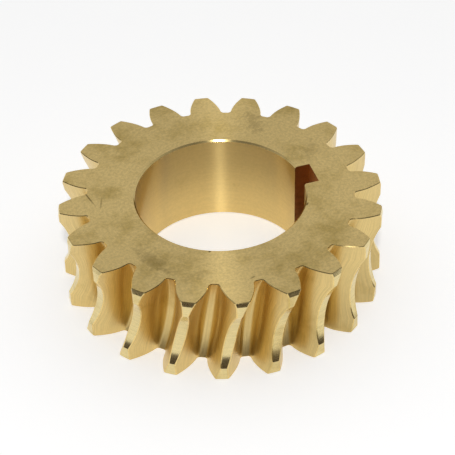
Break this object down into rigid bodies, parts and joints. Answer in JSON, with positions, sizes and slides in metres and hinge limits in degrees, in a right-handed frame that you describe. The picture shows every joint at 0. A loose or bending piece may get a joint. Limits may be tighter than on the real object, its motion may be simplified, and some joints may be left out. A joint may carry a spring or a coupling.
{
  "type": "worm wheel",
  "caption": "Throated worm wheel with helical enveloping teeth round a plain bore that has one keyway, for a worm at right angles.",
  "frame": {"origin": "on the bore's axis, in the plane of the lower face", "axes": "+Z along the bore's axis, from the lower face to the upper; +X through the middle of the keyway"},
  "size_m": [0.0724, 0.0724, 0.022],
  "materials": {
    "bronze": "machined"
  },
  "bodies": {
    "root": {"worm_wheel": "bronze"}
  },
  "joints": []
}
